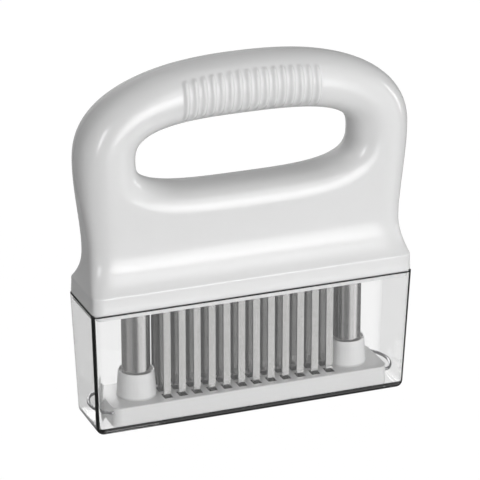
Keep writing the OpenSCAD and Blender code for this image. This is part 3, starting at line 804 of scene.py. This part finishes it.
def tub(bm, inset, low, high, radius, segments):
    """A drafted tub, open at the top, with rounded corners and lower edges"""
    sizes = setting("cover")
    box = COVER_BOX[1]
    made = bmesh.ops.create_cube(bm, size=1.0)["verts"]
    for v in made:
        z = high if v.co.z > 0 else low
        lean = (box.z - z) * math.tan(sizes.draft)
        v.co.x = math.copysign(box.x - inset - lean, v.co.x)
        v.co.y = math.copysign(box.y - inset - lean, v.co.y)
        v.co.z = z
    faces = {f for v in made for f in v.link_faces}
    top = [f for f in faces if all(v.co.z == high for v in f.verts)]
    bmesh.ops.delete(bm, geom=top, context="FACES_ONLY")
    edges = {e for v in made for e in v.link_edges if any(w.co.z < high for w in e.verts)}
    round_edges(bm, list(edges), radius, segments)


def rim_edges(bm, height):
    """The open edges at a height"""
    return [
        e for e in bm.edges if e.is_boundary and all(abs(v.co.z - height) < 1e-7 for v in e.verts)
    ]


def cover_mesh(sizes):
    top = COVER_BOX[1].z
    bm = bmesh.new()
    tub(bm, 0.0, 0.0, top, sizes.outer_round, 8)
    outside = set(bm.faces)
    tub(bm, sizes.wall, sizes.floor, top, sizes.inner_round, 8)
    bmesh.ops.reverse_faces(bm, faces=[f for f in bm.faces if f not in outside])
    bmesh.ops.bridge_loops(bm, edges=rim_edges(bm, top))
    merge_and_face_out(bm)
    rim = sharp_edges(bm, lambda p: abs(p.z - top) < 1e-7, math.radians(45))
    round_edges(bm, rim, sizes.rim_round, 2)
    smooth_curved_faces(bm, sharp=math.radians(40), flat_area=2e-5)
    return bm


# ---- Plates, blades and columns ----


def middle_of(node):
    """The middle of a node's length, on the centre line"""
    low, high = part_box(node)
    return Vector(((low.x + high.x) / 2, 0, 0))


def same(edge, axis):
    """Whether an edge's ends are at the same place along an axis"""
    a, b = (getattr(v.co, axis) for v in edge.verts)
    return abs(a - b) < 1e-6


def foot_plate_mesh(sizes):
    corner_reach, boss_reach, straight = 0.0045, 0.0085, 0.0001
    low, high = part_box("foot_plate")
    bm = copy_of_node("foot_plate")
    column_x = middle_of("column_tube_right").x
    faces = (low.z, low.z + PLATE_THICK)

    def on_outline(p):
        at_edge = abs(p.x) > high.x - corner_reach or abs(p.y) > high.y - straight
        clear_of_boss = math.hypot(abs(p.x) - column_x, p.y) > boss_reach
        return at_edge and clear_of_boss and any(abs(p.z - z) < 1e-5 for z in faces)

    level = [e for e in sharp_edges(bm, on_outline) if same(e, "z")]
    round_edges(bm, level, sizes.plate_edge, 4)
    boss_top = sharp_edges(bm, lambda p: p.z > high.z - 1e-5)
    round_edges(bm, boss_top, sizes.boss_edge, 3)
    smooth_curved_faces(bm, flat_area=3e-6)
    return bm


def blade_mesh(node, sizes):
    bm = copy_of_node(node)
    longer_than = 0.02
    long_edges = [
        e for e in bm.edges if e.is_manifold and e.calc_length() > longer_than and same(e, "x")
    ]
    round_edges(bm, long_edges, sizes.blade_edge, 2)
    smooth_curved_faces(bm, sharp=math.radians(50), flat_area=1e-6)
    return bm


def tube_mesh(node, sizes):
    low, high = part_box(node)
    outer = (high.x - low.x) / 2
    inner, lip = outer - sizes.tube_wall, sizes.tube_lip
    cut = lip * 0.3
    profile = [
        (inner, low.z), (outer, low.z), (outer, high.z - lip), (outer - cut, high.z - cut),
        (outer - lip, high.z), (inner, high.z),
    ]
    return turned(profile, middle_of(node))


def ring_mesh(node, hole):
    """A plain bush or collar with a small rounding on its outer edges"""
    low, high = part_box(node)
    outer, lip = (high.x - low.x) / 2, 0.0003
    profile = [
        (hole, low.z), (outer - lip, low.z), (outer, low.z + lip), (outer, high.z - lip),
        (outer - lip, high.z), (hole, high.z),
    ]
    return turned(profile, middle_of(node))


def spring_mesh(node, sizes):
    low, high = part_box(node)
    centre, wire = middle_of(node), sizes.spring_wire / 2
    radius = (high.x - low.x) / 2 - wire
    steps_per_coil, sides = 20, 8
    bm = bmesh.new()
    ring = bmesh.ops.create_circle(bm, segments=sides, radius=wire)["verts"]
    turn = Matrix.Rotation(math.pi / 2, 4, "X")
    place = Matrix.Translation(centre + Vector((radius, 0, low.z + wire)))
    bmesh.ops.transform(bm, matrix=place @ turn, verts=ring)
    start = bm.verts[:] + bm.edges[:]
    steps = sizes.spring_coils * steps_per_coil
    rise = (high.z - low.z - 2 * wire) / steps
    bmesh.ops.spin(
        bm, geom=start, cent=centre, axis=(0, 0, 1), dvec=(0, 0, rise),
        angle=math.tau * sizes.spring_coils, steps=steps, use_merge=False, use_duplicate=False,
    )
    bmesh.ops.holes_fill(bm, edges=[e for e in bm.edges if e.is_boundary], sides=sides)
    merge_and_face_out(bm)
    smooth_sides(bm)
    return bm


def clip_mesh(node, sizes):
    """Wire drawn along a leg, round a bend, the long bow, a bend and the other leg"""
    low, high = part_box(node)
    wire = sizes.clip_wire / 2
    cap_long, cap_thin = wire * 0.6, 0.6
    z = (low.z + high.z) / 2
    leg_y = high.y - wire
    leg_x = min(abs(low.x), abs(high.x)) + cap_long
    bow_x = max(abs(low.x), abs(high.x)) - wire - sizes.clip_bow
    turn = math.asin((leg_y - sizes.clip_bend) / (sizes.clip_bow - sizes.clip_bend))
    bend_x = bow_x + (sizes.clip_bow - sizes.clip_bend) * math.cos(turn)
    bend_y = leg_y - sizes.clip_bend
    bm = bmesh.new()
    ring = bmesh.ops.create_circle(bm, segments=16, radius=wire)["verts"]
    upright = Matrix.Rotation(math.pi / 2, 4, "Y")
    bmesh.ops.transform(bm, matrix=Matrix.Translation((leg_x, leg_y, z)) @ upright, verts=ring)
    start_edges = bm.edges[:]

    def drawn_out(along):
        """The verts and edges of the ring, drawn out along X"""
        made = bmesh.ops.extrude_edge_only(bm, edges=start_edges)["geom"]
        verts = [g for g in made if isinstance(g, bmesh.types.BMVert)]
        bmesh.ops.translate(bm, vec=(along, 0, 0), verts=verts)
        return verts, [g for g in made if isinstance(g, bmesh.types.BMEdge)]

    # A rounded end on the first leg, and then the leg
    verts, edges = drawn_out(-cap_long)
    middle = Matrix.Translation((0, -leg_y, -z))
    bmesh.ops.scale(bm, vec=(1, cap_thin, cap_thin), verts=verts, space=middle)
    bmesh.ops.contextual_create(bm, geom=edges)
    verts, edges = drawn_out(bend_x - leg_x)
    geom = verts + edges
    bends = (
        ((bend_x, bend_y, z), math.pi / 2 - turn, 8),
        ((bow_x, 0, z), turn, 16),
    )
    for centre, angle, steps in bends:
        made = bmesh.ops.spin(
            bm, geom=geom, cent=centre, axis=(0, 0, 1), angle=-angle, steps=steps, use_merge=False,
            use_duplicate=False,
        )
        geom = made["geom_last"]
    mirror(bm, "Y")
    if low.x < 0:
        bmesh.ops.scale(bm, vec=(-1, 1, 1), verts=bm.verts)
    merge_and_face_out(bm, 2e-6)
    smooth_sides(bm)
    return bm


def soft_copy(node, radius):
    """A copy of a node whose sharp outer edges are slightly rounded"""
    bm = copy_of_node(node)
    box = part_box(node)

    def on_side(p):
        return any(abs(p.x - corner.x) < 1e-5 or abs(p.y - corner.y) < 1e-5 for corner in box)

    round_edges(bm, sharp_edges(bm, on_side), radius, 2)
    smooth_curved_faces(bm)
    return bm


# ---- Operators ----


class Build:
    """What the operators share"""

    def execute(self, context):
        self.build(context.scene)
        return {"FINISHED"}


class TENDERIZER_OT_housing(Build, bpy.types.Operator):
    """Build the loop-handle housing with its grip ribs"""

    bl_idname = "tenderizer.housing"
    bl_label = "Handle housing"

    def build(self, scene):
        piece = add_piece(housing_mesh(setting("housing")), "housing_shell", "handle_housing")
        finer = piece.modifiers.new("Finer surface", "SUBSURF")
        finer.levels = finer.render_levels = 1


class TENDERIZER_OT_cover(Build, bpy.types.Operator):
    """Build the clear storage cover"""

    bl_idname = "tenderizer.cover"
    bl_label = "Clear cover"

    def build(self, scene):
        add_piece(cover_mesh(setting("cover")), "cover_tub", "clear_cover")


class TENDERIZER_OT_foot_plate(Build, bpy.types.Operator):
    """Build the foot plate with its bosses and slots"""

    bl_idname = "tenderizer.foot_plate"
    bl_label = "Foot plate"

    def build(self, scene):
        add_piece(foot_plate_mesh(setting("mechanism")), "foot_plate_moulding", "foot_plate")


class TENDERIZER_OT_blades(Build, bpy.types.Operator):
    """Build the three rows of blades"""

    bl_idname = "tenderizer.blades"
    bl_label = "Blades"

    def build(self, scene):
        for row in ROWS_OF_BLADES:
            mesh = blade_mesh("blades_" + row, setting("mechanism"))
            add_piece(mesh, "blade_row_" + row, "blades_" + row)


class TENDERIZER_OT_columns(Build, bpy.types.Operator):
    """Build the column tubes, their collars and their guide bushes"""

    bl_idname = "tenderizer.columns"
    bl_label = "Columns"

    def build(self, scene):
        low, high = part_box("column_tube_right")
        tube_r = (high.x - low.x) / 2
        rings = (("collar_", "column_collar_", 0.00002), ("bush_", "guide_bush_", 0.00005))
        for side in SIDES:
            tube = tube_mesh("column_tube_" + side, setting("mechanism"))
            add_piece(tube, "tube_" + side, "column_tube_" + side)
            for name, node, gap in rings:
                add_piece(ring_mesh(node + side, tube_r + gap), name + side, node + side)


class TENDERIZER_OT_springs(Build, bpy.types.Operator):
    """Build the two springs, each with a mesh of its own"""

    bl_idname = "tenderizer.springs"
    bl_label = "Springs"

    def build(self, scene):
        for side in SIDES:
            node = "spring_" + side
            piece = add_piece(spring_mesh(node, setting("mechanism")), "coil_" + side, node)
            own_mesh(piece)


class TENDERIZER_OT_clips(Build, bpy.types.Operator):
    """Build the two bowed wire clips"""

    bl_idname = "tenderizer.clips"
    bl_label = "Wire clips"

    def build(self, scene):
        for side in SIDES:
            mesh = clip_mesh("wire_clip_" + side, setting("mechanism"))
            add_piece(mesh, "clip_" + side, "wire_clip_" + side)


class TENDERIZER_OT_inner_pieces(Build, bpy.types.Operator):
    """Round the base plate's and bars' edges, and finish the pieces that keep their shape"""

    bl_idname = "tenderizer.inner_pieces"
    bl_label = "Inner pieces"

    def build(self, scene):
        add_piece(soft_copy("base_plate", radius=0.0004), "base_cover_plate", "base_plate")
        for row in ROWS_OF_BLADES:
            mesh = soft_copy("blade_bar_" + row, radius=0.0003)
            add_piece(mesh, "holder_bar_" + row, "blade_bar_" + row)
        for name, node in frame["nodes"].items():
            dress(node, SLOT_OF_NODE[name])


class TENDERIZER_OT_stage(Build, bpy.types.Operator):
    """Lay the floor, and set the lamps, the even light and the camera"""

    bl_idname = "tenderizer.stage"
    bl_label = "Stage"

    def build(self, scene):
        settings = setting("stage")
        make_floor()
        make_lamps(settings)
        make_world(settings)
        make_camera(settings)
        scene.view_settings.view_transform = "Standard"


# ---- Stage ----


def in_polished(tree, path):
    """1 for rays that a polished piece has sent on, also after they have passed the clear cover"""
    sent = math_node(tree, "GREATER_THAN", path["Glossy Depth"], 0.5)
    return math_node(tree, "SUBTRACT", sent, path["Is Diffuse Ray"], clamp=True)


def make_floor():
    """A wide pale floor that looks white and keeps the shadow"""
    half_wide, drop, grey, shown, glow_strength = 6.0, 0.0002, 0.6, 0.93, 1.055
    bm = bmesh.new()
    bmesh.ops.create_grid(bm, x_segments=1, y_segments=1, size=half_wide)
    bmesh.ops.translate(bm, vec=(0, 0, -drop), verts=bm.verts)
    floor = from_bmesh("floor", bm)
    material, tree, shader, output = new_material("Pale floor")
    inputs = {"Base Color": (grey, grey, grey, 1), "Roughness": 0.9, "Specular IOR Level": 0.0}
    fill(tree, shader, inputs)
    glow = add_node(tree, "ShaderNodeEmission", {"Strength": glow_strength})
    path = tree.nodes.new("ShaderNodeLightPath").outputs
    seen = math_node(tree, "MAXIMUM", path["Is Camera Ray"], path["Is Transmission Ray"])
    seen = math_node(tree, "MULTIPLY", seen, shown)
    surface = blended(tree, seen, shader.outputs["BSDF"], glow.outputs["Emission"])
    absent = tree.nodes.new("ShaderNodeBsdfTransparent").outputs["BSDF"]
    surface = blended(tree, in_polished(tree, path), surface, absent)
    tree.links.new(surface, output.inputs["Surface"])
    floor.data.materials.append(material)
    lamp_lit().objects.link(floor)


def aim(azimuth, elevation):
    """Unit vector from the object: azimuth 0 is the front, and 90 degrees the right"""
    a, e = math.radians(azimuth), math.radians(elevation)
    return Vector((math.sin(a) * math.cos(e), -math.cos(a) * math.cos(e), math.sin(e)))


def lamp_lit():
    """The pieces that show the lamps: metal and glass show the world's panels alone"""
    return bpy.data.collections.get("Lamp lit") or bpy.data.collections.new("Lamp lit")


def make_lamps(settings):
    """Softboxes that light the object, show in its plastic, or both"""
    target, distance = Vector((0, 0, 0.075)), 1.5
    # Name, azimuth, elevation, width, height, share of the key's power, lights, glints
    lamps = (
        ("front softbox", 14, 13, 1.0, 0.8, 1.0, True, False),
        ("low glint", 14, -4, 0.7, 0.75, 0.8, False, True),
        ("high glint", 18, 26, 0.6, 0.4, 0.17, False, True),
        ("left strip", -40, 7, 0.2, 0.8, 0.45, False, True),
        ("left softbox", -50, 20, 0.6, 0.6, 0.16, True, False),
        ("right strip", 84, 7, 0.14, 0.8, 0.28, True, True),
        ("rear softbox", 200, 66, 0.8, 0.6, 0.18, True, False),
        ("back softbox", 178, 15, 0.8, 0.8, 0.7, True, False),
    )
    for name, azimuth, elevation, width, height, share, lights, glints in lamps:
        lamp = bpy.data.lights.new(name, "AREA")
        lamp.shape, lamp.size, lamp.size_y = "RECTANGLE", width, height
        lamp.energy = settings.key * share
        holder = new_object(name, lamp)
        holder.location = target + aim(azimuth, elevation) * distance
        holder.rotation_mode = "QUATERNION"
        holder.rotation_quaternion = (target - holder.location).to_track_quat("-Z", "Y")
        holder.visible_camera = False
        holder.visible_diffuse, holder.visible_glossy = lights, glints
        if glints:
            holder.light_linking.receiver_collection = lamp_lit()


def panel_glow(tree, direction, azimuth, inner, outer, strength):
    """Glow of a tall panel: full up to an angle beside its azimuth, and none from a wider one"""
    toward = vector_node(tree, "DOT_PRODUCT", direction, aim(azimuth, 0)).outputs["Value"]
    edges = (math.cos(math.radians(outer)), math.cos(math.radians(inner)))
    return math_node(tree, "MULTIPLY", step_node(tree, toward, *edges), strength)


def make_world(settings):
    """White to the camera, dim to the rest, dark behind glass, tall panels in polished pieces"""
    world = bpy.data.worlds.new("Studio")
    bpy.context.scene.world = world
    world.use_nodes = True
    tree = world.node_tree
    tree.nodes.clear()
    output = tree.nodes.new("ShaderNodeOutputWorld")
    path = tree.nodes.new("ShaderNodeLightPath").outputs
    direction = tree.nodes.new("ShaderNodeTexCoord").outputs["Generated"]
    direction = vector_node(tree, "MULTIPLY", direction, (1, 1, 0)).outputs["Vector"]
    direction = vector_node(tree, "NORMALIZE", direction).outputs["Vector"]
    # Azimuth, angles beside it where the glow starts and ends to fade, and strength
    panels = ((34, 10, 46, 1.25), (-70, 5, 34, 0.4), (52, 3, 17, 0.45), (174, 8, 24, 0.35))
    polished = 0.22
    for panel in panels:
        polished = math_node(tree, "ADD", polished, panel_glow(tree, direction, *panel))
    shades = (
        ("even", settings.ambient, None),
        ("behind glass", 0.03, path["Is Transmission Ray"]),
        ("polished", polished, in_polished(tree, path)),
        ("camera", 1.0, path["Is Camera Ray"]),
    )
    shown = None
    for name, strength, ray in shades:
        glow = add_node(tree, "ShaderNodeBackground", {"Strength": strength}, label=name).outputs[0]
        shown = blended(tree, ray, shown, glow) if ray else glow
    tree.links.new(shown, output.inputs["Surface"])


def make_camera(settings):
    data = bpy.data.cameras.new("camera")
    data.lens, data.sensor_width = settings.lens, 36.0
    camera = new_object("camera", data)
    back = aim(math.degrees(settings.azimuth), math.degrees(settings.elevation))
    right = Vector((math.cos(settings.azimuth), math.sin(settings.azimuth), 0))
    up = back.cross(right)
    camera.location = back * settings.distance
    # The picture's middle lies above and a little beside the origin, as shares of the distance
    aim_left, aim_up = 0.00069, 0.0527
    forward = -back - right * aim_left + up * aim_up
    camera.rotation_mode = "QUATERNION"
    camera.rotation_quaternion = forward.to_track_quat("-Z", "Y")
    data.clip_start, data.clip_end = 0.05, 50.0
    bpy.context.scene.camera = camera


OPERATORS = (
    TENDERIZER_OT_stage,
    TENDERIZER_OT_housing,
    TENDERIZER_OT_cover,
    TENDERIZER_OT_foot_plate,
    TENDERIZER_OT_blades,
    TENDERIZER_OT_columns,
    TENDERIZER_OT_springs,
    TENDERIZER_OT_clips,
    TENDERIZER_OT_inner_pieces,
)


class TENDERIZER_PT_panel(bpy.types.Panel):
    """Sizes, colours and steps of the tenderizer"""

    bl_label = "Blade meat tenderizer"
    bl_idname = "TENDERIZER_PT_panel"
    bl_space_type = "VIEW_3D"
    bl_region_type = "UI"
    bl_category = "Tenderizer"

    def draw(self, context):
        layout = self.layout
        for attribute, group in SETTINGS.items():
            box = layout.box()
            box.label(text=group.__doc__)
            for prop in group.__annotations__:
                box.prop(getattr(context.scene, attribute), prop)
        for operator in OPERATORS:
            layout.operator(operator.bl_idname)


CLASSES = (*SETTINGS.values(), *OPERATORS, TENDERIZER_PT_panel)


def register():
    for cls in CLASSES:
        bpy.utils.register_class(cls)
    for attribute, group in SETTINGS.items():
        setattr(bpy.types.Scene, attribute, PointerProperty(type=group))


def unregister():
    for attribute in SETTINGS:
        delattr(bpy.types.Scene, attribute)
    for cls in reversed(CLASSES):
        bpy.utils.unregister_class(cls)


def main():
    register()
    for operator in OPERATORS:
        area, name = operator.bl_idname.split(".")
        getattr(getattr(bpy.ops, area), name)()


if __name__ == "__main__":
    main()
